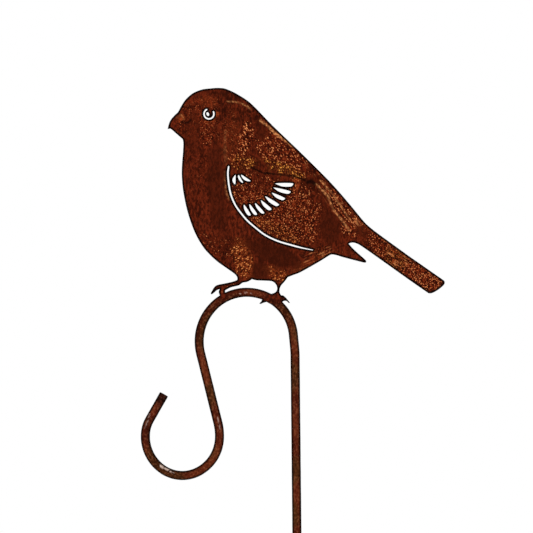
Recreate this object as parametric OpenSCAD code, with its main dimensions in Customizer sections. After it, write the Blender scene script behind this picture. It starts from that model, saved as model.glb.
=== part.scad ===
// Garden crook with a perching bird.
//
// One round bar is bent into a crook that ends in an open hanging hook. A bird, cut from steel
// sheet, lies against the front of the bar with its feet on the top of the crook. The bar stands
// on a fork, a second bar bent into an upside-down U whose two points are pushed into the soil.
// Welds hold the three together.
//
// X runs from the hook towards the bird's tail, Z is up, and the bird's face side looks to -Y.
// The origin is on the pole's axis at the ground line. Lengths are in millimetres.

/* [Bars] */
// Diameter of the round bar that the crook and the fork are bent from
bar_d = 8.5; // [6:0.5:10]
// Height above the ground at which the pole starts to bend
pole_h = 750; // [400:10:1400]

/* [Crook] */
// Radius of the crook's pole side and top, at the bar's centreline
crook_r = 43.4; // [40:0.2:48]
// Radius of the crook's hook side, at the bar's centreline
shoulder_r = 46.5; // [42:0.5:52]
// Length of the straight shank between crook and hook
shank_l = 66.1; // [50:0.1:90]
// Radius of the hook's throat, below the shank, at the bar's centreline
hook_r = 36.3; // [32:0.1:38]
// Length of the straight bar at the hook's open end
hook_tip_l = 27; // [20:1:35]

/* [Fork] */
// Distance between the fork's two prongs, centre to centre
fork_w = 70; // [50:1:100]
// Depth of the prongs' points below the ground
fork_depth = 200; // [120:10:300]
// Radius of the fork's two bends, at the bar's centreline
fork_bend_r = 16; // [12:1:20]
// Length of the taper at each point
point_l = 25; // [15:1:40]
// Diameter of the blunt end of each point
point_d = 2; // [1:0.5:4]

/* [Bird] */
// Thickness of the steel sheet
sheet_t = 2; // [1.5:0.5:4]
// Width of the slot that outlines the wing
wing_slot_w = 1.5; // [1:0.25:3]
// Width of the ring cut round the eye
eye_slot_w = 1.4; // [1:0.1:2.6]

/* [Welds] */
// Radius of the beads between the bar and the bird's feet
bead_r = 1.6; // [1:0.1:2]
// How far the weld under the pole spreads beyond the bar
collar_w = 1.8; // [1:0.1:3]

/* [Hidden] */

$fn = 48;
rust = [0.40, 0.16, 0.08];
weld_rust = [0.32, 0.13, 0.08];
bar_r = bar_d / 2;
curve_steps = 4;   // straight pieces between two points of an outline

// ---------------------------------------------------------------- the bent bar

// The crook's bends in order, from the top of the straight pole to the hook's open end, as
// [radius, angle]. A positive angle turns towards the hook side. Angle 0 is a straight run, and
// its first number is then a length.
bends = [
    [80, 5],
    [12.9, 0],
    [crook_r, 128],
    [shoulder_r, 60.4],
    [shank_l, 0],
    [51.5, -18],
    [hook_r, -60],
    [hook_r - 4.1, -60],
    [hook_r + 0.9, -60],
    [hook_r - 5.3, -25.6],
    [hook_tip_l, 0]
];

// A pose is [x, z, heading], with the heading counted from straight up towards the hook.
function ahead(h) = [-sin(h), cos(h)];
function turn(v, a) = [v.x * cos(a) - v.y * sin(a), v.x * sin(a) + v.y * cos(a)];

// Pose at the far end of bend b, which starts at pose p
function after(p, b) =
    b[1] == 0
    ? [p.x + b[0] * ahead(p[2]).x, p.y + b[0] * ahead(p[2]).y, p[2]]
    : let (
        side = sign(b[1]) * b[0] * turn(ahead(p[2]), 90),
        end = [p.x, p.y] + side - turn(side, b[1])
    ) [end.x, end.y, p[2] + b[1]];

// Pose after the first n bends
function pose(n) = n == 0 ? [0, pole_h, 0] : after(pose(n - 1), bends[n - 1]);

// The top of the crook, where the bar runs level and the bird perches
perch = after(pose(2), [crook_r, 85]);
crook_centre = [perch.x, perch.y - crook_r];

// Puts its children at a pose, with their Z along the bar
module at_pose(p) translate([p.x, 0, p.y]) rotate([0, -p[2], 0]) children();

// Bent bar: starts at the origin along +Z and curves towards -X
module bar_arc(r, a, d = bar_d)
    translate([-r, 0, 0]) rotate([90, 0, 0])
        rotate_extrude(angle = a, $fn = 180) translate([r, 0]) rotate(90) circle(d = d, $fn = 48);

module bar_bend(b) {
    if (b[1] == 0) cylinder(h = b[0], d = bar_d);
    else rotate(b[1] > 0 ? 0 : 180) bar_arc(b[0], abs(b[1]));
}

// ---------------------------------------------------------------- outlines

// Catmull-Rom point at t, between b and c
function between(a, b, c, d, t) =
    b + (c - a) * t / 2 + (2 * a - 5 * b + 4 * c - d) * t * t / 2
    + (3 * b - 3 * c + d - a) * t * t * t / 2;

// Smooth line through the points p, without its last point
function smooth(p) = [
    for (i = [0 : len(p) - 2]) for (k = [0 : curve_steps - 1])
        between(p[max(i - 1, 0)], p[i], p[i + 1], p[min(i + 2, len(p) - 1)], k / curve_steps)
];

// Closed outline from smooth strokes that meet at corners; a stroke ends where the next starts
function outline(strokes) = [
    for (i = [0 : len(strokes) - 1])
        each smooth(concat(strokes[i], [strokes[(i + 1) % len(strokes)][0]]))
];

// Closed smooth loop with no corner
function loop(p) = [
    for (i = [0 : len(p) - 1]) for (k = [0 : curve_steps - 1])
        between(p[(i + len(p) - 1) % len(p)], p[i], p[(i + 1) % len(p)],
                p[(i + 2) % len(p)], k / curve_steps)
];

// ---------------------------------------------------------------- the bird

// Points of the bird, as [x, z] from near the top of the crook. Each name is one smooth stroke
// that starts at a corner, and the next stroke's first point ends it.
bird_shift = [1.1, 0];
beak = [[-72.6, 152.4], [-71.3, 157.3], [-69.5, 161], [-66, 165]];
brow = [[-62.7, 168], [-60, 173], [-56, 179.1], [-50.4, 184.3], [-45, 187.2], [-39, 189],
    [-32, 189.7], [-26, 190.1], [-20.5, 189.7]];
nape = [[-19, 189.4], [-14.5, 187.6], [-8, 184.3], [2, 177.8], [10.3, 170], [25, 154.4],
    [49.4, 130.5], [70, 109.7], [80, 99.1], [90.5, 87], [100.5, 74.8], [107.6, 65.9],
    [112, 61.2], [118.6, 55.6], [126, 50]];
tail = [[150, 32.2], [180.6, 10.4], [182.6, 8.7], [183.2, 7], [182.2, 4.8], [177.6, 0.9],
    [172.8, -1.9], [170.3, -2.7], [168.2, -2.6]];
tail_under = [[166.3, -1.4], [149.7, 10.4], [118.2, 33.3], [107.6, 40.9], [102.9, 43.8],
    [99, 45.1], [96, 44.9]];
vent = [[94.4, 44.1], [98.1, 39.8], [102.9, 35.2], [109.2, 29.5], [110.5, 27.6], [109.3, 26.4],
    [102.9, 27.9], [88.6, 31.8], [83.8, 33.4], [79, 34.3], [76, 33.3], [67.1, 27.9],
    [57.6, 22.6], [48.1, 17.6], [42.5, 15.6]];
rear_leg = [[37.4, 13.6], [34.8, 10], [31.4, 6.2], [30, 3.4], [29.6, 0.2], [30.2, -1.7]];
rear_claw = [[31.4, -3.2], [33.3, -3.5], [36, -6], [39, -9.9]];
rear_heel = [[38.2, -10.3], [36, -8.4], [33.4, -8.5], [31.5, -10]];
rear_toe = [[29.8, -11.2], [27, -9.8], [22, -8.4], [18, -9], [14, -10.1], [12, -11]];
instep = [[10.9, -10.4], [12.6, -8.7], [13.6, -7], [17, -4.6], [20.7, -2.2], [25.2, -0.7],
    [27.2, 1.4], [27.6, 3.7], [26.9, 6.3], [24.8, 8.9], [22, 10.2], [15, 10.7], [8, 11.1]];
front_leg = [[4.3, 12.2], [0, 9.8], [-4.6, 8.9], [-8.2, 6.5], [-15.6, 4.7]];
front_toe = [[-20.8, 2], [-20.8, 0], [-20.4, -2.4], [-21, -5], [-22.9, -6.2], [-24.8, -5],
    [-25.8, -2.4], [-26.7, 0], [-26.5, 1.7]];
front_claw = [[-25.8, 3.3], [-28.5, 2.2], [-31.5, -0.3], [-33.4, -1.5], [-34.1, -0.5],
    [-32.7, 2], [-30.9, 4.9], [-28, 7], [-20, 8.6], [-14, 9.9]];
breast = [[-9.6, 11.4], [-9.4, 13.9], [-12, 17.4], [-20, 23.2], [-27.5, 28.7], [-34.5, 35.2],
    [-40.9, 42.7], [-47, 53.3], [-51.2, 63.6], [-54.8, 75.2], [-57.4, 86.9], [-59.2, 98.5],
    [-59.9, 110], [-59.5, 120], [-58.6, 130], [-58.1, 138], [-58.6, 142.4]];
under_beak = [[-60, 144], [-64.5, 148], [-69.5, 152.4], [-71.4, 152.6]];

bird_outline = outline([
    beak, brow, nape, tail, tail_under, vent, rear_leg, rear_claw, rear_heel, rear_toe, instep,
    front_leg, front_toe, front_claw, breast, under_beak
]);

// Line of the slot that outlines the wing, from the shoulder to the flank
wing_line = [
    [-16.3, 116.9], [-17.1, 110.8], [-16.4, 100.8], [-14.5, 90.8], [-10.6, 81.3], [-5.3, 73.6],
    [0.7, 66.4], [8.9, 59.2], [17.2, 52.8], [28.3, 47.4], [39.4, 43.9], [50.6, 40.8], [61, 38.6]
];

// The slots cut for flight feathers, as [x, z, length, angle, width] from each inner end
feathers = [
    [-2.9, 81.4, 11.8, -57, 3], [2.3, 81.7, 12, -53, 3], [7.6, 82.6, 12.6, -47, 2.9],
    [13, 85.2, 13, -40, 3.3], [17, 88.8, 15.2, -31, 3.4], [23.3, 91.9, 13.4, -23, 3.3],
    [24.8, 96.7, 16.6, -13, 3.4], [26.6, 100.4, 16.9, 0, 3.5]
];

// The three slots cut in the shoulder
shoulder_slots = [
    [[-10, 109], [-11.7, 107.4], [-13, 104.5], [-12.1, 101.9], [-10.7, 100.3],
     [-10.1, 102.1], [-10, 106.2]],
    [[-6.9, 108.9], [-7.8, 107.9], [-7.1, 105.1], [-5, 102.5], [-3.5, 101.6], [-3.3, 102.6],
     [-4.8, 105]],
    [[-4, 109], [-4.8, 108.3], [-3.2, 105.7], [-0.8, 103.8], [1.9, 103.1], [3.9, 103.4],
     [1, 105.6]]
];

eye_centre = [-34.1, 166];
eye_ring_r = 4.6;
eye_ring_arc = [118, 384];   // from the brow, round the bottom, to the back of the eye
pupil = [3.7, 2.4];          // length and width
pupil_place = [-35.2, 165.9];
pupil_tilt = -70;

// A slot along a line of points, with round ends. widths gives its width at each point.
module slot(line, widths) {
    last = len(line) - 1;
    left = [for (i = [0 : last]) line[i] + widths[i] / 2 * side_of(line, i)];
    right = [for (i = [last : -1 : 0]) line[i] - widths[i] / 2 * side_of(line, i)];
    polygon(concat(left, right));
    for (i = [0, last]) translate(line[i]) circle(d = widths[i], $fn = 16);
}

// Unit vector to the left of a line at its point i
function side_of(line, i) =
    let (v = line[min(i + 1, len(line) - 1)] - line[max(i - 1, 0)]) turn(v, 90) / norm(v);

// A feather slot along +X: a straight spine, a full belly and a slanted end
module feather_slot(l, w)
    polygon(loop([
        [0.02 * l, 0.4], [0.3 * l, 0.75], [0.68 * l, 0.75], [0.96 * l, 0.4], [l, -0.5],
        [0.9 * l, -w + 1.1], [0.7 * l, -w + 0.75], [0.4 * l, -w + 1.05], [0.15 * l, -0.9]
    ]));

module eye_ring() {
    line = [for (a = [eye_ring_arc[0] : 14 : eye_ring_arc[1]])
        eye_centre + eye_ring_r * [cos(a), sin(a)]];
    slot(line, [for (point = line) eye_slot_w]);
}

// The wing's slot starts a little narrow at the shoulder and thins out towards the flank
module wing_slot() {
    line = concat(smooth(wing_line), [wing_line[len(wing_line) - 1]]);
    last = len(line) - 1;
    slot(line, [for (i = [0 : last]) wing_slot_w * min(1, 0.8 + 0.1 * i, 0.4 + 0.1 * (last - i))]);
}

module bird_shape() difference() {
    polygon(bird_outline);
    wing_slot();
    for (f = feathers) translate([f[0], f[1]]) rotate(f[3]) feather_slot(f[2], f[4]);
    for (s = shoulder_slots) polygon(loop(s));
    eye_ring();
    translate(pupil_place) rotate(pupil_tilt) polygon([for (a = [0 : 20 : 340])
        [pupil[0] / 2 * cos(a), pupil[1] / 2 * sin(a)]]);
}

// ---------------------------------------------------------------- sub-parts

// The bird lies against the front of the bar
module bird_plate() color(rust)
    translate([perch.x + bird_shift.x, -bar_r, perch.y + bird_shift.y]) rotate([90, 0, 0])
        linear_extrude(sheet_t) bird_shape();

// The pole's foot is coped a little way over the fork's crossbar
cope = 0.8;
module crook_bar() color(rust) {
    difference() {
        translate([0, 0, bar_d - cope]) cylinder(h = pole_h - bar_d + cope, d = bar_d);
        fork_crossbar();
    }
    for (i = [0 : len(bends) - 1]) at_pose(pose(i)) bar_bend(bends[i]);
}

// The crossbar's underside is the ground line
module fork_crossbar()
    translate([fork_bend_r - fork_w / 2, 0, bar_r]) rotate([0, 90, 0])
        cylinder(h = fork_w - 2 * fork_bend_r, d = bar_d);

module fork_prong() {
    shoulder_z = bar_r - fork_bend_r;
    translate([-fork_w / 2, 0, shoulder_z]) rotate(180) bar_arc(fork_bend_r, 90);
    translate([-fork_w / 2, 0, point_l - fork_depth])
        cylinder(h = fork_depth - point_l + shoulder_z, d = bar_d);
    translate([-fork_w / 2, 0, -fork_depth]) cylinder(h = point_l, d1 = point_d, d2 = bar_d);
}

module ground_fork() color(rust) {
    fork_crossbar();
    fork_prong();
    mirror([1, 0, 0]) fork_prong();
}

// A collar of weld where the pole stands on the crossbar, swollen in the middle
module fork_weld() color(weld_rust) difference() {
    rotate_extrude() polygon([
        [0, bar_r + 0.5], [bar_r + 0.3 * collar_w, bar_r + 0.5], [bar_r + collar_w, bar_r + 2.2],
        [bar_r + collar_w, bar_r + 4], [bar_r + 0.6 * collar_w, bar_r + 5.6],
        [bar_r + 0.2, bar_r + 6.6], [0, bar_r + 6.6]
    ]);
    fork_crossbar();
    translate([0, 0, bar_d - cope]) cylinder(h = bar_d, d = bar_d);
}

// A bead in the groove behind the bird's foot, between sheet and bar. It follows the crook from
// angle a to angle b, counted from +X about the crook's centre, on side 1 (outer) or -1 (inner).
module foot_bead(a, b, side) {
    reach = bar_r * 0.68;
    translate([crook_centre.x, 0, crook_centre.y]) rotate([90, 0, 0]) rotate([0, 0, a])
        difference() {
            rotate_extrude(angle = b - a, $fn = 180)
                translate([crook_r + side * reach, bar_r * 0.7]) circle(bead_r, $fn = 32);
            rotate([0, 0, -2]) rotate_extrude(angle = b - a + 4, $fn = 180)
                translate([crook_r, 0]) circle(d = bar_d);
            translate([-2 * crook_r, -2 * crook_r, bar_r]) cube([4 * crook_r, 4 * crook_r, bar_r]);
        }
}

module front_toe_weld() color(weld_rust) foot_bead(116, 121.5, 1);
module rear_foot_weld_upper() color(weld_rust) foot_bead(48, 61, 1);
module rear_foot_weld_lower() color(weld_rust) foot_bead(55, 66, -1);

bird_plate();
crook_bar();
ground_fork();
fork_weld();
front_toe_weld();
rear_foot_weld_upper();
rear_foot_weld_lower();
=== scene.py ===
"""Looks for a garden crook with a perching bird, all in rusted steel.

The bars are swept along their bends, the bird is meshed from the rims of its CAD sheet, and each
surface gets a procedural rust. Lengths are in millimetres until a mesh is made. The floor, the
lights and the point they face are in metres.
"""
import math

import bpy
import numpy as np
from mathutils import Matrix, Vector, noise
from mathutils.geometry import delaunay_2d_cdt
from mathutils.kdtree import KDTree


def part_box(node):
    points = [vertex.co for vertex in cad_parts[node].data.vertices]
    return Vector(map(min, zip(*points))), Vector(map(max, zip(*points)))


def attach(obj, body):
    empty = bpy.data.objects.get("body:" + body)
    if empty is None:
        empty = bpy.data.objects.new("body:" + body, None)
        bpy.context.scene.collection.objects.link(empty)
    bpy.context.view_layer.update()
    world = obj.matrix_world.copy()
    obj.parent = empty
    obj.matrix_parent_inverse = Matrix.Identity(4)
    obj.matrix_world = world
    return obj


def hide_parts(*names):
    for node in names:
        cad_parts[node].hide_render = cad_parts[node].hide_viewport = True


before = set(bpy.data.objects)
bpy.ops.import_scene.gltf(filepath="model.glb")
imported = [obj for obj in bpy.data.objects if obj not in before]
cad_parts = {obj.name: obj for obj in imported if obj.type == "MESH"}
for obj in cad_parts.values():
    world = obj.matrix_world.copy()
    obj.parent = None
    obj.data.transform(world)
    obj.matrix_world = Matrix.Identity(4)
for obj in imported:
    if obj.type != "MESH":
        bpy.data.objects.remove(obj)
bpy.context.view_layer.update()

MM = 0.001


def box_mm(node):
    """The lowest and highest corners of a CAD node, in millimetres."""
    low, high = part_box(node)
    return np.array(low) / MM, np.array(high) / MM


# ------------------------------------------------------------------ sizes, from the frame

crook_low, crook_high = box_mm("crook_bar")
fork_low, fork_high = box_mm("ground_fork")
bird_low, bird_high = box_mm("bird_plate")

BAR_R = crook_high[1]
SHEET_FRONT = bird_low[1]
SHEET_BACK = bird_high[1]
# The bird's own zero, which its zones below are counted from: near the top of the crook
BIRD_X = bird_low[0] + 72.6
BIRD_Z = bird_high[2] - 190.1

# The crook's bends from the straight pole to the hook's open end, as (radius, degrees), or as
# (length, 0) for a straight run. A positive turn goes towards the hook side.
POLE_TOP = 750.0
CROOK_R = 43.4
CROOK_BENDS = [
    (80, 5), (12.9, 0), (CROOK_R, 128), (46.5, 60.4), (66.1, 0), (51.5, -18),
    (36.3, -60), (32.2, -60), (37.2, -60), (31, -25.6), (27, 0),
]
# The fork's bends, from the point of the left prong to the point of the right one
FORK_BEND_R = 16.0
PRONG_X = fork_high[0] - BAR_R
PRONG_L = fork_high[2] - BAR_R - FORK_BEND_R - fork_low[2]
POINT_L = 25.0
POINT_R = 1.0

BEAD_R = 1.6
# Where the foot welds run in the groove between bar and sheet, in bar radii: how far to the
# side of the bar's middle line, and how far towards the sheet
GROOVE_SIDE = 0.68
GROOVE_DEPTH = 0.7
FORK_BEAD_R = 1.4
FORK_RIPPLES = 20


# ------------------------------------------------------------------ camera

# The middle of the picture as (x, z), the width that it shows, and how far it leans
VIEW_MIDDLE = (-25.7, 833.2)
VIEW_WIDTH = 495.7
VIEW_LEAN = math.radians(0.6)
CAMERA_DISTANCE = 4000.0


def add_camera():
    """A long lens straight in front, leaning a little, as the picture does."""
    data = bpy.data.cameras.new("camera")
    data.sensor_width = 36
    data.lens = data.sensor_width * CAMERA_DISTANCE / VIEW_WIDTH
    data.clip_end = 100
    camera = bpy.data.objects.new("camera", data)
    bpy.context.scene.collection.objects.link(camera)
    right = Vector((math.cos(VIEW_LEAN), 0, -math.sin(VIEW_LEAN)))
    up = Vector((math.sin(VIEW_LEAN), 0, math.cos(VIEW_LEAN)))
    turn = Matrix((right, up, right.cross(up))).transposed().to_4x4()
    place = Vector((VIEW_MIDDLE[0], -CAMERA_DISTANCE, VIEW_MIDDLE[1])) * MM
    camera.matrix_world = Matrix.Translation(place) @ turn
    bpy.context.scene.camera = camera


# ------------------------------------------------------------------ shader helpers


def colour(red, green, blue):
    """A display colour, from 0 to 255 a channel, as the linear RGBA that shaders take."""
    def linear(value):
        value /= 255
        return value / 12.92 if value < 0.04045 else ((value + 0.055) / 1.055) ** 2.4
    return (linear(red), linear(green), linear(blue), 1.0)


class Shader:
    """One material, with short calls that add its nodes."""

    def __init__(self, name):
        self.material = bpy.data.materials.new(name)
        self.material.use_nodes = True
        self.tree = self.material.node_tree
        self.surface = self.tree.nodes["Principled BSDF"]

    def put(self, socket, value):
        """Sets a socket, or links it if the value is another node's output."""
        if isinstance(value, bpy.types.NodeSocket):
            self.tree.links.new(value, socket)
        else:
            socket.default_value = value

    def add(self, kind, values=None, **settings):
        node = self.tree.nodes.new(kind)
        for key, value in settings.items():
            setattr(node, key, value)
        for key, value in (values or {}).items():
            self.put(node.inputs[key], value)
        return node

    def value(self, name):
        """A per-point number that the mesh carries."""
        return self.add("ShaderNodeAttribute", attribute_name=name).outputs["Fac"]

    def place(self, name="flow"):
        """A per-point place that the mesh carries, in millimetres."""
        return self.add("ShaderNodeAttribute", attribute_name=name).outputs["Vector"]

    def stretched(self, vector, scale):
        return self.add("ShaderNodeMapping", {"Vector": vector, "Scale": scale}).outputs[0]

    def noise(self, vector, size, detail=2.0, roughness=0.5, distortion=0.0):
        """Cloudy noise whose patches are about this many millimetres across."""
        return self.add("ShaderNodeTexNoise", {
            "Vector": vector, "Scale": 1 / size, "Detail": detail, "Roughness": roughness,
            "Distortion": distortion}).outputs["Fac"]

    def shaken(self, vector, size, reach):
        """The place moved up to this reach by noise, so that patterns on it lose their order."""
        shift = self.add("ShaderNodeTexNoise", {"Vector": vector, "Scale": 1 / size, "Detail": 1})
        centred = self.add("ShaderNodeVectorMath", operation="SUBTRACT")
        self.put(centred.inputs[0], shift.outputs["Color"])
        centred.inputs[1].default_value = (0.5, 0.5, 0.5)
        moved = self.add("ShaderNodeVectorMath", {"Scale": 2 * reach}, operation="SCALE")
        self.put(moved.inputs[0], centred.outputs[0])
        total = self.add("ShaderNodeVectorMath", operation="ADD")
        self.put(total.inputs[0], vector)
        self.put(total.inputs[1], moved.outputs[0])
        return total.outputs[0]

    def cells(self, vector, size):
        """Distance to the middle of the nearest of many scattered cells, in cell sizes."""
        return self.add("ShaderNodeTexVoronoi", {"Vector": vector, "Scale": 1 / size}
                        ).outputs["Distance"]

    def step(self, value, low, high, to_low=0.0, to_high=1.0):
        """A smooth step from to_low to to_high as the value goes from low to high."""
        return self.add("ShaderNodeMapRange", {
            "Value": value, "From Min": low, "From Max": high, "To Min": to_low,
            "To Max": to_high}, interpolation_type="SMOOTHSTEP").outputs["Result"]

    def math(self, operation, a, b=0.0):
        node = self.add("ShaderNodeMath", operation=operation)
        self.put(node.inputs[0], a)
        self.put(node.inputs[1], b)
        return node.outputs[0]

    def times(self, *factors):
        result = factors[0]
        for factor in factors[1:]:
            result = self.math("MULTIPLY", result, factor)
        return result

    def mix(self, share, first, second):
        """The first colour where share is 0, the second where it is 1."""
        node = self.add("ShaderNodeMix", data_type="RGBA")
        self.put(node.inputs[0], share)
        self.put(node.inputs[6], first)
        self.put(node.inputs[7], second)
        return node.outputs[2]

    def ramp(self, value, stops):
        node = self.add("ShaderNodeValToRGB", {"Fac": value})
        elements = node.color_ramp.elements
        while len(elements) < len(stops):
            elements.new(1.0)
        for element, (position, shade) in zip(elements, stops):
            element.position = position
            element.color = shade
        return node.outputs["Color"]

    def finish(self, base, roughness, height, depth):
        """Colour, roughness and a bump of this depth in millimetres, on a dull surface."""
        self.put(self.surface.inputs["Base Color"], base)
        self.put(self.surface.inputs["Roughness"], roughness)
        self.surface.inputs["Specular IOR Level"].default_value = 0.02
        bump = self.add("ShaderNodeBump", {"Strength": 1.0, "Distance": depth * MM,
                                           "Height": height})
        self.put(self.surface.inputs["Normal"], bump.outputs["Normal"])
        return self.material


# ------------------------------------------------------------------ materials

SOOT = colour(12, 4, 3)
PIT = colour(34, 7, 4)
DARK = colour(56, 17, 6)
BROWN = colour(79, 25, 9)
RED_BROWN = colour(99, 34, 15)
ORANGE = colour(155, 56, 22)
TAN = colour(238, 152, 92)
GOLD = colour(228, 152, 64)
SHADE_INK = colour(8, 3, 2)
PAINTED_GLINT = colour(240, 212, 196)


def bird_rust():
    """Rust on the bird: smooth brown, or beaded and streaked, as its zones say."""
    s = Shader("rusted_sheet")
    place = s.place()
    patches = s.noise(place, 26, detail=3)
    clouds = s.noise(place, 7, detail=4, roughness=0.6, distortion=0.6)
    grain = s.noise(place, 1.5, detail=1, distortion=0.5)
    base = s.ramp(s.math("ADD", s.times(patches, 0.45), s.times(clouds, 0.55)),
                  [(0.36, DARK), (0.5, BROWN), (0.64, RED_BROWN)])
    mottle = s.noise(s.stretched(place, (1, 1, 0.5)), 1.7, detail=2, distortion=0.6)
    base = s.mix(s.step(mottle, 0.5, 0.64, to_high=0.55), base, colour(120, 42, 19))
    base = s.mix(s.step(mottle, 0.5, 0.38, to_high=0.7), base, colour(38, 9, 4))
    broken = s.step(grain, 0.34, 0.52)
    base = s.mix(s.times(s.value("ember"), broken, 0.8), base, colour(184, 80, 34))

    # Beads of rust: more and broader ones where the sheet is more speckled, and small, dull
    # ones where it is fine
    speckle = s.value("speckle")
    gold = s.value("gold")
    fine = s.step(s.value("fine"), 0.4, 0.6)
    drawn_out = s.stretched(s.place("combed"), (0.65, 1, 1))
    coarse_beads = s.cells(s.shaken(drawn_out, 1.5, 0.7), 1.65)
    fine_beads = s.cells(s.shaken(place, 1.2, 0.5), 1.5)
    beads = s.math("ADD", s.times(coarse_beads, s.math("SUBTRACT", 1.0, fine)),
                   s.times(fine_beads, fine))
    worms = s.noise(place, 2.4, detail=1, distortion=0.9)
    worms = s.math("ABSOLUTE", s.math("SUBTRACT", worms, 0.5))
    crusts = s.step(s.math("SUBTRACT", beads, s.times(speckle, 0.43)), 0.0, -0.1)
    crusts = s.math("MAXIMUM", crusts, s.times(s.step(worms, 0.04, 0.02), speckle, 0.55))
    crusts = s.times(crusts, s.step(fine, 0.0, 1.0, 0.75, 1.0))
    glints = s.step(s.math("SUBTRACT", beads, s.times(speckle, 0.35)), 0.0, -0.08)
    pits = s.times(s.step(beads, 0.42, 0.54), s.step(worms, 0.035, 0.06))
    base = s.mix(s.times(speckle, pits, 0.95), base, PIT)
    base = s.mix(crusts, base, s.mix(s.times(gold, 0.35), ORANGE, GOLD))
    dulled = s.step(fine, 0.0, 1.0, 1.0, 0.8)
    base = s.mix(s.times(glints, s.step(clouds, 0.38, 0.55, 0.3, 1.0), dulled), base,
                 s.mix(gold, TAN, GOLD))

    along = s.noise(s.stretched(s.place("combed"), (0.14, 1, 1)), 1.3, detail=1, distortion=0.2)
    streak = s.value("streak")
    base = s.mix(s.times(streak, s.step(along, 0.5, 0.4), 0.7), base, PIT)
    base = s.mix(s.times(streak, s.step(along, 0.55, 0.63), 0.72), base,
                 s.mix(s.step(clouds, 0.44, 0.6), ORANGE, TAN))
    base = s.mix(s.times(s.value("dark"), 0.75), base, colour(58, 18, 6))
    beaded = s.times(s.value("light_line"), s.step(beads, 0.62, 0.3, to_low=0.2))
    base = s.mix(beaded, base, colour(222, 146, 88))
    base = s.mix(s.value("dark_line"), base, SOOT)
    # Painted shade: a dark outline along the sheet's rims
    base = s.mix(s.step(s.value("rim"), 2.2, 1.1), base, SOOT)

    height = s.math("ADD", s.times(s.step(beads, 0.6, 0.1), s.math("ADD", speckle, 0.15)),
                    s.times(grain, 0.2))
    roughness = s.step(grain, 0.3, 0.7, to_low=0.92, to_high=0.7)
    return s.finish(base, roughness, height, depth=0.3)


def bar_rust(name, shade):
    """Rust on a round bar, drawn out along it, with painted highlights and a dark end.

    The shade, from 0 to 1, darkens the whole bar.
    """
    s = Shader(name)
    place = s.place()
    hue = s.noise(s.stretched(place, (1, 1, 0.6)), 24, detail=1)
    patches = s.noise(s.stretched(place, (1, 1, 0.35)), 9, detail=3, distortion=0.4)
    clouds = s.noise(place, 4, detail=3, roughness=0.6)
    grain = s.noise(s.stretched(place, (1, 1, 0.7)), 1.5, detail=1.5)
    red = s.ramp(patches, [(0.36, colour(74, 26, 11)), (0.5, colour(96, 34, 16)),
                           (0.64, colour(112, 48, 24))])
    olive = s.ramp(patches, [(0.36, colour(68, 34, 13)), (0.5, colour(90, 48, 20)),
                             (0.64, colour(114, 68, 36))])
    base = s.mix(s.step(hue, 0.5, 0.62), red, olive)
    base = s.mix(s.step(clouds, 0.46, 0.34, to_high=0.4), base, PIT)
    base = s.mix(s.times(s.step(grain, 0.5, 0.38), 0.4), base, PIT)
    base = s.mix(s.times(s.step(grain, 0.54, 0.68), 0.4), base, colour(158, 96, 62))
    base = s.mix(s.value("cut"), base, s.mix(s.step(grain, 0.45, 0.6), SOOT, colour(58, 30, 22)))
    # Painted shade: the bar's flanks darkened to near black
    base = s.mix(s.value("flank"), base, SHADE_INK)
    # Painted highlights: near-white patches at listed spots on the bar's front
    painted_glint = s.times(s.value("painted_glint"), s.step(grain, 0.34, 0.5))
    base = s.mix(painted_glint, base, PAINTED_GLINT)
    base = s.mix(shade, base, SOOT)
    roughness = s.step(grain, 0.3, 0.7, to_low=0.88, to_high=0.62)
    height = s.math("ADD", s.times(grain, 0.6), clouds)
    return s.finish(base, roughness, height, depth=0.3)


def weld_rust():
    """Rust on weld metal: darker, in the hollows most of all."""
    s = Shader("rusted_weld")
    place = s.place()
    clouds = s.noise(place, 2.2, detail=3)
    grain = s.noise(place, 0.8, detail=2)
    base = s.ramp(clouds, [(0.36, colour(62, 24, 14)), (0.52, colour(98, 42, 22)),
                           (0.66, colour(138, 70, 36))])
    base = s.mix(s.step(grain, 0.5, 0.36, to_high=0.7), base, SOOT)
    roughness = s.step(clouds, 0.3, 0.7, to_low=0.85, to_high=0.6)
    return s.finish(base, roughness, grain, depth=0.15)


# ------------------------------------------------------------------ mesh helpers


def make_piece(name, points, faces, material, values):
    """A smooth piece that stands for the CAD node of its name, with the values it carries."""
    mesh = bpy.data.meshes.new(name + "_mesh")
    mesh.from_pydata((np.asarray(points) * MM).tolist(), [], faces)
    mesh.shade_smooth()
    for key, column in values.items():
        kind, field = ("FLOAT_VECTOR", "vector") if column.ndim == 2 else ("FLOAT", "value")
        layer = mesh.attributes.new(key, kind, "POINT")
        layer.data.foreach_set(field, column.astype(np.float32).ravel())
    mesh.materials.append(material)
    piece = bpy.data.objects.new(name + "_look", mesh)
    bpy.context.scene.collection.objects.link(piece)
    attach(piece, "root")
    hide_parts(name)


def cloud(points, size, seed=0.0):
    """Smooth noise from -1 to 1 at each point, with features of this size."""
    shift = Vector((seed, 2.3 * seed, -1.7 * seed))
    return np.array([noise.noise(Vector(p) / size + shift) for p in points])


def smoothstep(value, low, high):
    t = np.clip((value - low) / (high - low), 0, 1)
    return t * t * (3 - 2 * t)


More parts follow.
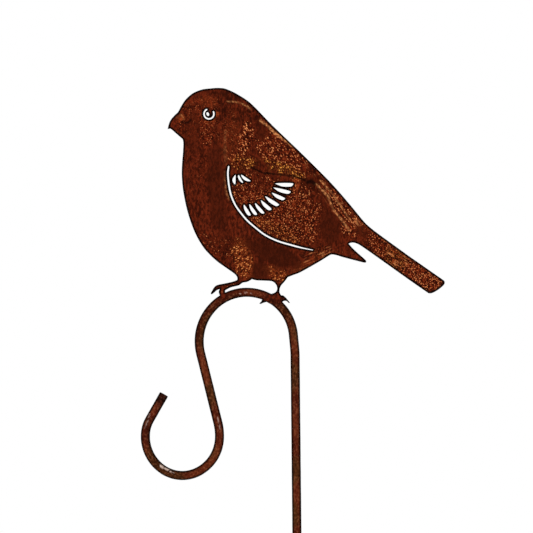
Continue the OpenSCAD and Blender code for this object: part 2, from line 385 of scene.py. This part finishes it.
def tube(centres, radii, hint, sides=28, closed=False):
    """A tube round a line of points. Its flow is the place in the tube pulled straight."""
    ahead = np.roll(centres, -1, 0) - np.roll(centres, 1, 0)
    if not closed:
        ahead[0] = centres[1] - centres[0]
        ahead[-1] = centres[-1] - centres[-2]
    ahead /= np.linalg.norm(ahead, axis=1)[:, None]
    across = np.cross(hint, ahead)
    across /= np.linalg.norm(across, axis=1)[:, None]
    up = np.cross(ahead, across)
    run = np.concatenate([[0], np.cumsum(np.linalg.norm(np.diff(centres, axis=0), axis=1))])

    angle = np.linspace(0, 2 * math.pi, sides, endpoint=False)
    cosine = np.cos(angle)[None, :, None]
    sine = np.sin(angle)[None, :, None]
    outward = across[:, None] * cosine + up[:, None] * sine
    reach = np.broadcast_to(radii.reshape(len(centres), -1, 1), (len(centres), sides, 1))
    straight = np.concatenate([cosine * reach, sine * reach,
                               np.broadcast_to(run[:, None, None], reach.shape)], axis=2)
    flow = straight.reshape(-1, 3)
    relief = 0.05 * cloud(flow, 9, 3) + 0.035 * cloud(flow, 2.2, 8)
    fade = np.minimum(1, reach / (0.5 * radii.max())) ** 2
    reach = reach + relief.reshape(reach.shape) * fade
    points = (centres[:, None] + outward * reach).reshape(-1, 3)

    count = len(centres)
    faces = []
    for i in range(count if closed else count - 1):
        j = (i + 1) % count
        for k in range(sides):
            m = (k + 1) % sides
            faces.append((i * sides + k, i * sides + m, j * sides + m, j * sides + k))
    if not closed:
        faces.append(tuple(reversed(range(sides))))
        faces.append(tuple((count - 1) * sides + k for k in range(sides)))
    return points, faces, flow


# ------------------------------------------------------------------ bars

# A cut end: how far each ring stands from the end, and its share of the bar's radius
CUT_END = [(0.45, 1.0), (0.12, 0.97), (0.0, 0.9), (-0.03, 0.8), (-0.06, 0.4), (-0.07, 0.02)]


def bar_route(bends, start, step=1.5):
    """The centreline of a bent bar that starts upwards, and its distance run at each point."""
    x, z = start
    heading = 0.0
    points = [(x, 0, z)]
    for size, turn in bends:
        length = size * math.radians(abs(turn)) if turn else size
        count = math.ceil(length / step)
        bend = math.radians(turn) / count
        chord = 2 * size * math.sin(abs(bend) / 2) if turn else size / count
        for _ in range(count):
            x -= chord * math.sin(heading + bend / 2)
            z += chord * math.cos(heading + bend / 2)
            heading += bend
            points.append((x, 0, z))
    return np.array(points, float)


def crook_middle():
    """The (x, z) about which the crook bends."""
    foot = bar_route([(POLE_TOP, 0)] + CROOK_BENDS[:2], (0.0, 0.0))[-1]
    lean = math.radians(CROOK_BENDS[0][1])
    return foot[[0, 2]] - CROOK_R * np.array([math.cos(lean), math.sin(lean)])


def with_ends(route, radii, end):
    """Puts the rings of an end shape at both ends of a route, and gives the radii with them."""
    for _ in range(2):
        route, radii = route[::-1], radii[::-1]
        outward = (route[-1] - route[-2]) / np.linalg.norm(route[-1] - route[-2])
        tip = route[-1]
        rings = np.array([tip - outward * back for back, _ in end])
        route = np.concatenate([route[:-1], rings])
        radii = np.concatenate([radii[:-1], [radii[-1] * share for _, share in end]])
    return route, radii


# Painted highlights on the bar's front: the (x, z) of a patch's two ends, its half width and
# how bright it is
PAINTED_GLINT_SPOTS = [
    ((-126.3, 649.1), (-123.6, 647.4), 1.2, 1.0),
    ((-124.5, 647.9), (-114.8, 642.8), 0.85, 0.9),
    ((-72.6, 693.0), (-70.6, 682.5), 0.45, 0.45),
    ((-135.5, 697.8), (-139.6, 684.7), 0.5, 0.3),
    ((-50.0, 808.3), (-49.6, 808.4), 0.55, 0.6),
    ((-45.8, 808.9), (-44.8, 809.0), 0.55, 0.7),
    ((-40.5, 808.4), (-40.1, 808.3), 0.6, 0.6),
]


def painted_glints(points):
    """How strongly each point takes a painted highlight. Only the front of the bar takes them."""
    painted_glint = np.zeros(len(points))
    for a, b, width, amount in PAINTED_GLINT_SPOTS:
        away = away_from_line(points[:, [0, 2]], (a, b)) + 0.3 * cloud(points, 2.5, 5)
        painted_glint = np.maximum(painted_glint, amount * (1 - smoothstep(away, 0.3 * width, 1.3 * width)))
    return painted_glint * (points[:, 1] < 0)


def bar_values(points, flow, cut):
    """What the bar's rust reads: the painted shade on its flanks, the dark end and the painted
    highlights.
    """
    # The flanks are the bar's sides as seen from in front; their near-black is painted shade
    lean = np.abs(flow[:, 0]) / BAR_R
    return {
        "flow": flow,
        "flank": 0.92 * smoothstep(lean + 0.06 * cloud(flow, 5, 2), 0.47, 0.8),
        "cut": cut,
        "painted_glint": painted_glints(points),
    }


def make_crook_bar():
    """Pole, crook, shank and hook, in one bent bar with square-cut ends."""
    start = (0.0, crook_low[2])
    bends = [(POLE_TOP - crook_low[2], 0)] + CROOK_BENDS
    route = bar_route(bends, start)
    route, radii = with_ends(route, np.full(len(route), BAR_R), CUT_END)
    points, faces, flow = tube(route, radii, hint=(0, 1, 0))
    # The hook's cut end is dark
    run = flow[:, 2]
    cut = 0.85 * smoothstep(run, run.max() - 15, run.max() - 5)
    make_piece("crook_bar", points, faces, bar_rust("rusted_bar", 0.1),
               bar_values(points, flow, cut))


def make_ground_fork():
    """The bent fork, whose prongs are drawn out to blunt points."""
    bends = [(PRONG_L, 0), (FORK_BEND_R, -90), (2 * (PRONG_X - FORK_BEND_R), 0),
             (FORK_BEND_R, -90), (PRONG_L, 0)]
    route = bar_route(bends, (-PRONG_X, fork_low[2]))
    depth = route[:, 2] - fork_low[2]
    taper = np.clip(depth / POINT_L, 0, 1)
    radii = POINT_R + (BAR_R - POINT_R) * np.sin(taper * math.pi / 2) ** 0.9
    route, radii = with_ends(route, radii, [(0.5, 1.0), (0.15, 0.85), (0.0, 0.55), (-0.05, 0.05)])
    points, faces, flow = tube(route, radii, hint=(0, 1, 0))
    # The prongs darken towards their points
    cut = 0.5 * (1 - smoothstep(points[:, 2] - fork_low[2], 10, 45))
    make_piece("ground_fork", points, faces, bar_rust("rusted_fork", 0.3),
               bar_values(points, flow, cut))


# ------------------------------------------------------------------ welds


def bead_radii(run, radius, pitch=1.3, open_ends=True):
    """A bead's radius along its run: the ripples of a weld, and rounded ends."""
    ripple = np.abs(np.sin(math.pi * run / pitch)) ** 0.6
    radii = radius * (0.84 + 0.16 * ripple)
    if open_ends:
        share = np.clip(np.minimum(run, run[-1] - run) / radius, 0.002, 1)
        radii *= np.sqrt(share * (2 - share))
    return radii


def make_foot_weld(name, first, last, side, material):
    """A bead behind a foot, along the outer (side 1) or inner (side -1) groove of the crook.

    It runs from the first to the last angle, in degrees round the crook's middle.
    """
    middle = crook_middle()
    reach = CROOK_R + side * GROOVE_SIDE * BAR_R
    angle = np.radians(np.linspace(first, last, 60))
    route = np.stack([middle[0] + reach * np.cos(angle),
                      np.full(len(angle), -GROOVE_DEPTH * BAR_R),
                      middle[1] + reach * np.sin(angle)], axis=1)
    run = reach * (angle - angle[0])
    points, faces, flow = tube(route, bead_radii(run, BEAD_R), hint=(0, 1, 0), sides=20)
    # The bead stays behind the middle of the sheet
    points[:, 1] = np.maximum(points[:, 1], SHEET_FRONT + 1.0)
    make_piece(name, points, faces, material, {"flow": flow})


def make_fork_weld(material):
    """A bead right round the pole's foot, which rides up over the crossbar under it."""
    turn = np.radians(np.arange(0, 360, 2.5))
    ring = BAR_R + 0.25
    height = BAR_R + np.sqrt((BAR_R + 0.5) ** 2 - (ring * np.sin(turn)) ** 2)
    route = np.stack([ring * np.cos(turn), ring * np.sin(turn), height], axis=1)
    run = ring * turn
    pitch = ring * 2 * math.pi / FORK_RIPPLES
    radii = bead_radii(run, FORK_BEAD_R, pitch, open_ends=False)
    points, faces, flow = tube(route, radii, hint=(0, 0, 1), sides=20, closed=True)
    make_piece("fork_weld", points, faces, material, {"flow": flow})


# ------------------------------------------------------------------ the bird

EDGE_ROUND = 0.35                        # radius of the sheet's rolled-over edges
ROWS = [0.1, 0.3, 0.75, 1.3, 2.0]        # rows of points beside each rim
GRID = 1.0                               # spacing of the points further in


def rims(node):
    """The rims of a flat sheet's front face, each a closed list of (x, z), metal on the left."""
    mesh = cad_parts[node].data
    front = min(v.co.y for v in mesh.vertices)
    edges = set()
    for face in mesh.polygons:
        if max(mesh.vertices[i].co.y for i in face.vertices) < front + 1e-5:
            corners = list(face.vertices)
            edges.update(zip(corners, corners[1:] + corners[:1]))
    following = {a: b for a, b in edges if (b, a) not in edges}
    loops = []
    while following:
        loop = [min(following)]
        while (corner := following.pop(loop[-1])) != loop[0]:
            loop.append(corner)
        loops.append(np.array([mesh.vertices[i].co.xz for i in loop]) / MM)
    return loops


def even_spacing(loop, longest=0.9):
    """The loop with its long edges divided."""
    points = []
    for a, b in zip(loop, np.roll(loop, -1, 0)):
        count = max(1, math.ceil(np.linalg.norm(b - a) / longest))
        points += [a + (b - a) * k / count for k in range(count)]
    return np.array(points)


def inward(loop):
    """Unit vectors from each point of a rim into the metal."""
    tangent = np.roll(loop, -1, 0) - np.roll(loop, 1, 0)
    tangent /= np.linalg.norm(tangent, axis=1)[:, None]
    return np.stack([-tangent[:, 1], tangent[:, 0]], axis=1)


def inside(points, loops):
    """Which points lie on the metal, by counting the rims crossed on the way out."""
    odd = np.zeros(len(points), bool)
    for loop in loops:
        for a, b in zip(loop, np.roll(loop, -1, 0)):
            if a[1] != b[1]:
                spans = (points[:, 1] < a[1]) != (points[:, 1] < b[1])
                at = a[0] + (points[:, 1] - a[1]) * (b[0] - a[0]) / (b[1] - a[1])
                odd ^= spans & (points[:, 0] < at)
    return odd


class RimDistance:
    """Distance from any point to the nearest rim."""

    def __init__(self, loops):
        near = np.concatenate([even_spacing(loop, 0.15) for loop in loops])
        self.tree = KDTree(len(near))
        for i, (x, z) in enumerate(near):
            self.tree.insert((x, z, 0), i)
        self.tree.balance()

    def __call__(self, points):
        return np.array([self.tree.find((x, z, 0))[2] for x, z in points])


def sheet_points(loops):
    """Points all over the sheet: its rims, rows beside them, and an even grid further in."""
    distance = RimDistance(loops)
    chosen = list(loops)
    cells = set()
    for row in ROWS:
        row_points = np.concatenate([loop + row * inward(loop) for loop in loops])
        fits = distance(row_points) > 0.85 * row
        kept = []
        size = 0.35 + 0.3 * row
        for x, z in row_points[fits]:
            cell = (row, round(x / size), round(z / size))
            if cell not in cells:
                cells.add(cell)
                kept.append((x, z))
        chosen.append(np.array(kept))
    low = np.min([np.min(loop, 0) for loop in loops], 0)
    high = np.max([np.max(loop, 0) for loop in loops], 0)
    rise = GRID * math.sqrt(3) / 2
    grid = np.array([(x + GRID / 2 * (j % 2), low[1] + j * rise)
                     for j in range(int((high[1] - low[1]) / rise) + 1)
                     for x in np.arange(low[0], high[0], GRID)])
    grid = grid[inside(grid, loops)]
    chosen.append(grid[distance(grid) > ROWS[-1] + 0.6])
    points = np.concatenate(chosen)
    return points, distance(points)


def sheet_mesh(loops):
    """Triangles over the sheet, its points, and each point's distance to the nearest rim."""
    points, depth = sheet_points(loops)
    edges = []
    start = 0
    for loop in loops:
        count = len(loop)
        edges += [(start + k, start + (k + 1) % count) for k in range(count)]
        start += count
    rim_count = start
    result = delaunay_2d_cdt([Vector(p) for p in points.tolist()], edges, [], 0, 1e-6)
    flat = np.array([tuple(v) for v in result[0]])
    triangles = np.array([f for f in result[2] if len(f) == 3])
    if len(flat) != len(points):
        raise RuntimeError("the sheet's rims touch, so its points were merged")
    middles = flat[triangles].mean(axis=1)
    triangles = triangles[inside(middles, loops)]
    a, b, c = (flat[triangles[:, k]] for k in range(3))
    turned = (b[:, 0] - a[:, 0]) * (c[:, 1] - a[:, 1]) < (b[:, 1] - a[:, 1]) * (c[:, 0] - a[:, 0])
    triangles[turned] = triangles[turned][:, ::-1]
    return flat, triangles, depth, edges, rim_count


# Zones of the bird, from its own zero: (x, z, half length, half height, tilt, strength)
SPECKLED = {
    "nape": (0, 143, 8, 18, -14, 1.0),
    "neck": (-4, 122, 14, 10, 0, 0.8),
    "mantle": (34, 128, 34, 17, -40, 0.88),
    "lower back": (74, 92, 24, 7, -47, 0.7),
    "wing": (35, 74, 49, 34, -28, 0.88),
    "shoulder": (-3, 95, 13, 20, 0, 0.8),
    "front thigh": (-4, 31, 12, 19, 10, 0.9),
    "rear thigh": (26, 18, 15, 8, -30, 0.8),
    "front leg": (-18, 4, 22, 5, 15, 0.5),
    "low breast": (-27, 45, 19, 12, -40, 0.55),
    "cheek": (-34, 146, 11, 12, 0, 0.65),
    "face": (-44, 160, 18, 24, 0, 0.6),
    "ear": (-16, 148, 9, 22, 0, 0.5),
    "crown": (-34, 177, 12, 9, 0, 0.5),
    "throat": (-42, 112, 13, 24, 0, 0.3),
    "flank": (58, 30, 28, 9, 24, 0.6),
    "rear flank": (84, 82, 26, 10, -52, 0.8),
    "rump": (100, 60, 15, 13, -40, 0.9),
    "beak": (-60, 155, 7, 13, 0, 0.5),
    "tail": (132, 34, 34, 14, -35, 0.85),
    "tail end": (165, 12, 22, 14, -35, 1.0),
    "vent": (96, 36, 12, 8, -30, 0.3),
}
GOLDEN = {
    "shoulder band": (26, 115, 29, 7, -14, 1.0),
    "front thigh": (-4, 31, 12, 20, 10, 0.3),
    "wing slot": (30, 56, 30, 6, -30, 0.3),
    "rear thigh": (27, 18, 16, 8, -30, 0.35),
    "flank": (56, 28, 20, 7, 24, 0.2),
    "tail": (138, 29, 12, 10, -35, 0.6),
    "neck": (-6, 120, 8, 8, 0, 0.7),
}
STREAKED = {
    "back": (62, 113, 14, 4, -45, 0.6),
    "lower back": (86, 80, 30, 10, -52, 0.6),
    "flank": (58, 28, 24, 8, 24, 0.5),
    "tail": (139, 29, 13, 9, -35, 0.9),
}
FINE = {
    "wing": (37, 68, 50, 30, -32, 1.0),
    "thighs": (12, 24, 34, 22, -8, 0.35),
    "head": (-36, 160, 28, 32, 0, 0.7),
    "tail": (140, 30, 60, 22, -35, 0.7),
}
EMBERS = {
    "wing corner": (46, 99, 3.5, 7, -12, 0.75),
    "beak": (-60, 162, 5, 3, 50, 0.5),
    "behind the eye": (-26.8, 165.8, 2.6, 2.4, 0, 1.0),
    "under the eye": (-34.3, 159.8, 5, 1.3, 0, 0.5),
    "feather gap": (14, 86, 2, 4, 40, 0.7),
    "front thigh": (-3, 30, 9, 19, 10, 0.38),
    "rear thigh": (26, 18, 14, 6, -30, 0.38),
    "flank": (54, 25, 16, 4, 26, 0.25),
    "brow": (-34.5, 177.5, 9, 6, 0, 0.2),
    "neck": (-13, 140, 10, 24, 0, 0.13),
}
SMOOTH_DARK = {
    "breast": (-27, 92, 9, 46, 2, 0.8),
    "below the wing": (25, 35, 30, 11, -24, 1.0),
    "wing stripe": (76, 60, 10, 16, 8, 0.9),
    "wing stripe top": (73, 82, 5, 13, 12, 0.5),
    "belly": (12.5, 20, 9, 10, 0, 1.0),
    "behind the nape": (14, 150, 5, 10, 20, 0.7),
    "elbow": (60, 102, 8, 4, 0, 0.8),
    "inner wing": (14, 100, 12, 5, -40, 0.25),
    "face": (-50, 150, 8, 20, 0, 0.4),
    "crown": (-24, 184, 16, 4, -10, 0.4),
    "tail root": (106, 55, 8, 5, -40, 0.6),
}
# Thin lines on the bird: the points they pass through, their half width and their strength
LIGHT_LINES = [
    ([(13.7, 159.6), (21.6, 152.9), (26.8, 147.4), (34.8, 142), (40, 138), (48, 132.6)], 0.5, 1.0),
    ([(-17, 177.5), (-10, 177), (-4, 175.5), (2, 172.5), (5, 169.5)], 0.2, 0.6),
    ([(-19, 150), (-19.6, 135), (-18.6, 119)], 0.9, 0.14),
    ([(-19.6, 112), (-20, 104), (-19, 94), (-16, 86)], 0.4, 0.35),
    ([(64.2, 100.2), (75, 89.2), (81, 75.1), (90.1, 64.2), (94.7, 56.4)], 0.4, 0.75),
    ([(68.9, 103.2), (79.6, 90.7), (88.8, 76.6), (96.4, 65.7)], 0.3, 0.7),
    ([(-64, 163), (-60, 165.5), (-57.5, 161.5)], 0.4, 0.4),
]
DARK_LINES = [
    ([(4, 116), (15, 111), (30, 109), (45, 107.5), (54, 103.5)], 0.4, 0.85),
    ([(57, 101.5), (60, 102.5), (63, 100.5)], 1.2, 0.8),
    ([(-60, 159), (-54, 158), (-51, 160.5)], 0.6, 0.7),
]
# The lower rim of the wing. The belly just under it has no speckles.
WING_RIM = [(-17, 108), (-14, 90), (-5, 73), (9, 59), (28, 47), (62, 38)]


def zone(places, table, ragged):
    """The strongest of a table's soft-edged ellipses at each place."""
    level = np.zeros(len(places))
    for x, z, length, height, tilt, strength in table.values():
        turn = math.radians(tilt)
        away = places - (x, z)
        u = away[:, 0] * math.cos(turn) + away[:, 1] * math.sin(turn)
        v = away[:, 1] * math.cos(turn) - away[:, 0] * math.sin(turn)
        reach = np.hypot(u / length, v / height) + ragged
        level = np.maximum(level, strength * (1 - smoothstep(reach, 0.7, 1.2)))
    return level


def away_from_line(places, ends):
    """Distance from each place to a line between two ends."""
    a, b = np.array(ends, float)
    share = np.clip((places - a) @ (b - a) / ((b - a) @ (b - a)), 0, 1)
    return np.linalg.norm(places - a - share[:, None] * (b - a), axis=1)


def drawn(places, lines, ragged):
    """How strongly a set of thin lines marks each place."""
    level = np.zeros(len(places))
    for points, width, strength in lines:
        away = np.min([away_from_line(places, ends) for ends in zip(points, points[1:])], axis=0)
        fade = 1 - smoothstep(away + ragged, width, width + 0.9)
        level = np.maximum(level, strength * fade)
    return level


def bird_values(points, depth):
    """What the bird's rust reads at each point."""
    places = points[:, [0, 2]] - (BIRD_X, BIRD_Z)
    flat = np.column_stack([places, np.zeros(len(places))])
    ragged = 0.3 * cloud(flat, 8, 1) + 0.15 * cloud(flat, 3, 4)
    rim_x, rim_z = np.array(WING_RIM).T
    below_wing = np.interp(places[:, 0], rim_x, rim_z) - places[:, 1]
    calm = (abs(places[:, 0] - 22) < 40) & (below_wing > 0)
    dark = zone(places, SMOOTH_DARK, ragged)
    speckle = zone(places, SPECKLED, ragged) * np.where(calm, smoothstep(below_wing, 8, 22), 1)
    # The streaks run down the back, out along the tail, or up along the flank
    lie = np.where(places[:, 0] > 105, -35, np.where(places[:, 1] < 45, 24, -51))
    lie = np.radians(lie)
    # Over the bar, the feet have no painted dark outline at their rims
    from_bar = abs(np.linalg.norm(points[:, [0, 2]] - crook_middle(), axis=1) - CROOK_R)
    return {
        "combed": np.column_stack([
            places[:, 0] * np.cos(lie) + places[:, 1] * np.sin(lie),
            places[:, 1] * np.cos(lie) - places[:, 0] * np.sin(lie), points[:, 1]]),
        "rim": depth + 3 * (1 - smoothstep(from_bar, 0.6 * BAR_R, 0.95 * BAR_R)),
        "speckle": speckle * (1 - 0.9 * dark),
        "gold": zone(places, GOLDEN, ragged),
        "fine": zone(places, FINE, ragged),
        "streak": zone(places, STREAKED, ragged) * (1 - dark),
        "ember": zone(places, EMBERS, ragged),
        "dark": dark,
        "light_line": drawn(places, LIGHT_LINES, ragged),
        "dark_line": drawn(places, DARK_LINES, ragged),
    }


def make_bird():
    """The cut sheet: two faces with rolled-over edges, joined by rough cut walls."""
    loops = [even_spacing(loop) for loop in rims("bird_plate")]
    flat, triangles, depth, edges, rim_count = sheet_mesh(loops)
    count = len(flat)
    solid = np.column_stack([flat[:, 0], np.zeros(count), flat[:, 1]])
    lift = np.clip(1 - depth / EDGE_ROUND, 0, 1)
    rounding = EDGE_ROUND * (1 - np.sqrt(1 - lift ** 2))
    values = bird_values(solid, depth)
    rough = values["speckle"] * np.clip(depth / 2, 0, 1)
    sides = []
    for place, sign, seed in ((SHEET_FRONT, 1, 0), (SHEET_BACK, -1, 30)):
        face = solid.copy()
        relief = 0.08 * cloud(solid, 11, seed + 1) + rough * 0.1 * cloud(solid, 2.6, seed + 2)
        face[:, 1] = place + sign * (rounding + relief * np.clip(depth, 0, 1))
        sides.append(face)
    walls = []
    out = np.concatenate([-inward(loop) for loop in loops])
    for share, seed in ((0.3, 50), (0.7, 60)):
        wall = solid[:rim_count].copy()
        wall[:, 1] = SHEET_FRONT + EDGE_ROUND + share * (SHEET_BACK - SHEET_FRONT - 2 * EDGE_ROUND)
        swell = 0.03 + 0.04 * cloud(wall, 0.8, seed)
        wall[:, 0] += out[:, 0] * swell
        wall[:, 2] += out[:, 1] * swell
        walls.append(wall)
    points = np.concatenate(sides + walls)
    faces = triangles.tolist() + (triangles[:, ::-1] + count).tolist()
    strips = [0, 2 * count, 2 * count + rim_count, count]
    for near, far in zip(strips, strips[1:]):
        faces += [(near + b, near + a, far + a, far + b) for a, b in edges]
    carried = {}
    for key, column in values.items():
        carried[key] = np.concatenate([column, column, column[:rim_count], column[:rim_count]])
    carried["flow"] = points
    # The cut walls are dark all over
    carried["rim"][2 * count:] = 0
    make_piece("bird_plate", points, faces, bird_rust(), carried)


# ------------------------------------------------------------------ stage and light

FLOOR_R = 12
FLOOR_GLOW = 0.6
# How far out the glow starts, and how far out it is full
FLOOR_GLOW_REACH = (0.8, 6)
# How strongly the backdrop lights the scene, where 1 is as bright as it shows
BACKDROP_LIGHT = 0.45
# The point that the lights face
AIM = Vector((-0.02, 0, 0.85))


def make_floor():
    """A pale round floor, level with the fork's points."""
    s = Shader("pale_floor")
    place = s.add("ShaderNodeTexCoord").outputs["Object"]
    tone = s.noise(place, 0.8, detail=3)
    base = s.ramp(tone, [(0.3, (0.80, 0.80, 0.79, 1)), (0.7, (0.84, 0.84, 0.83, 1))])
    s.put(s.surface.inputs["Base Color"], base)
    s.surface.inputs["Roughness"].default_value = 0.9
    # Far out, the floor glows up to the backdrop's white, so that no horizon shows
    away = s.add("ShaderNodeVectorMath", operation="LENGTH")
    s.put(away.inputs[0], place)
    glow = s.step(away.outputs["Value"], *FLOOR_GLOW_REACH, to_high=FLOOR_GLOW)
    s.surface.inputs["Emission Color"].default_value = (1, 1, 1, 1)
    s.put(s.surface.inputs["Emission Strength"], glow)
    angle = np.linspace(0, 2 * math.pi, 96, endpoint=False)
    rim = [(FLOOR_R * math.cos(a), FLOOR_R * math.sin(a), fork_low[2] * MM) for a in angle]
    mesh = bpy.data.meshes.new("floor_mesh")
    mesh.from_pydata(rim, [], [tuple(range(len(rim)))])
    mesh.materials.append(s.material)
    floor = bpy.data.objects.new("floor", mesh)
    bpy.context.scene.collection.objects.link(floor)


def add_light(name, place, size, power):
    """A square soft box that faces the middle of the picture."""
    data = bpy.data.lights.new(name, "AREA")
    data.size = size
    data.energy = power
    light = bpy.data.objects.new(name, data)
    bpy.context.scene.collection.objects.link(light)
    place = Vector(place)
    light.matrix_world = Matrix.Translation(place) @ (
        (place - AIM).to_track_quat("Z", "Y").to_matrix().to_4x4())


def light_scene():
    """Soft boxes in front and behind, and a white backdrop that lights less than it shows."""
    add_light("key", (-1.3, -3.6, 2.1), 1.6, 52)
    add_light("fill", (1.4, -3.7, 1.0), 1.6, 18)
    add_light("back", (0.8, 3.6, 2.0), 1.8, 50)
    world = bpy.data.worlds.new("studio")
    world.use_nodes = True
    bpy.context.scene.world = world
    tree = world.node_tree
    glow = tree.nodes["Background"]
    glow.inputs["Color"].default_value = (1, 1, 1, 1)
    glow.inputs["Strength"].default_value = BACKDROP_LIGHT
    shown = tree.nodes.new("ShaderNodeBackground")
    shown.inputs["Color"].default_value = (1, 1, 1, 1)
    seen = tree.nodes.new("ShaderNodeLightPath")
    choose = tree.nodes.new("ShaderNodeMixShader")
    tree.links.new(seen.outputs["Is Camera Ray"], choose.inputs[0])
    tree.links.new(glow.outputs[0], choose.inputs[1])
    tree.links.new(shown.outputs[0], choose.inputs[2])
    tree.links.new(choose.outputs[0], tree.nodes["World Output"].inputs["Surface"])
    bpy.context.scene.view_settings.view_transform = "Standard"


# ------------------------------------------------------------------ build

add_camera()
make_bird()
make_crook_bar()
make_ground_fork()
weld_metal = weld_rust()
make_foot_weld("front_toe_weld", 116, 121.5, 1, weld_metal)
make_foot_weld("rear_foot_weld_upper", 48, 61, 1, weld_metal)
make_foot_weld("rear_foot_weld_lower", 55, 66, -1, weld_metal)
make_fork_weld(weld_metal)
make_floor()
light_scene()
